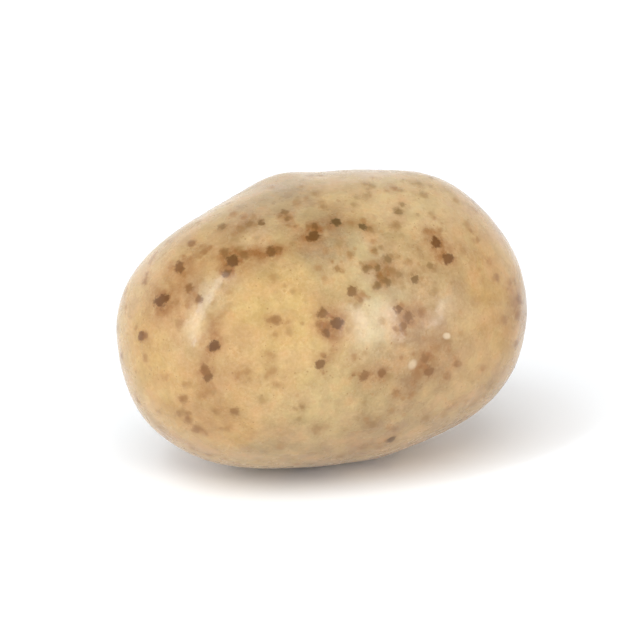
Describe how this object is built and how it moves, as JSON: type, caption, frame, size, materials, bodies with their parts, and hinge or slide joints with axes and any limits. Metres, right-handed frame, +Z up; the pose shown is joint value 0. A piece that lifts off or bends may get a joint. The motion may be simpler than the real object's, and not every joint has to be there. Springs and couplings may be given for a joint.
{
  "type": "white chocolate coffee almond candy",
  "caption": "Egg-shaped panned candy coated in glossy white chocolate with dark coffee grounds, lying on its side on a small flat.",
  "frame": {"origin": "middle of the base of the bounding box, on the surface that the candy rests on", "axes": "+X along the candy's long axis, towards its wider end; +Z up"},
  "size_m": [0.028, 0.0192, 0.0191],
  "materials": {
    "coating": "polished white chocolate tinted by coffee, with dark flecks"
  },
  "bodies": {
    "root": {"coated_almond": "coating"}
  },
  "joints": []
}
